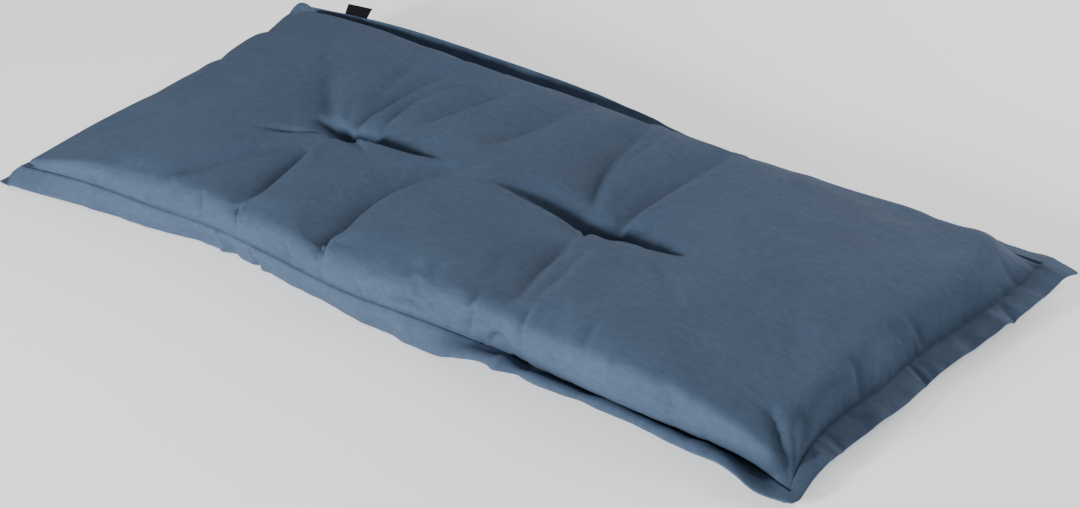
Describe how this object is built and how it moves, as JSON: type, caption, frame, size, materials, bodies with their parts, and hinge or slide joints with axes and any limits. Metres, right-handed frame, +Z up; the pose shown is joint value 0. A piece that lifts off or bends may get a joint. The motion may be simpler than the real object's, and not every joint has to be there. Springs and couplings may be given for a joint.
{
  "type": "bench cushion",
  "caption": "Long rectangular filled bench cushion with a sewn flat flange, a tufted crowned top with gathered folds, and a blank woven tab.",
  "frame": {"origin": "middle of the cushion's bounding box, on the ground it lies on", "axes": "+X along the length, +Y from the front long side to the far long side, +Z up through the thickness"},
  "size_m": [1.2033, 0.532, 0.0884],
  "materials": {
    "pad_cloth": "matte plain weave, mottled blue-grey",
    "tab_ribbon": "black woven ribbon, slight sheen"
  },
  "bodies": {
    "root": {"cushion": "pad_cloth", "tab": "tab_ribbon"}
  },
  "joints": []
}
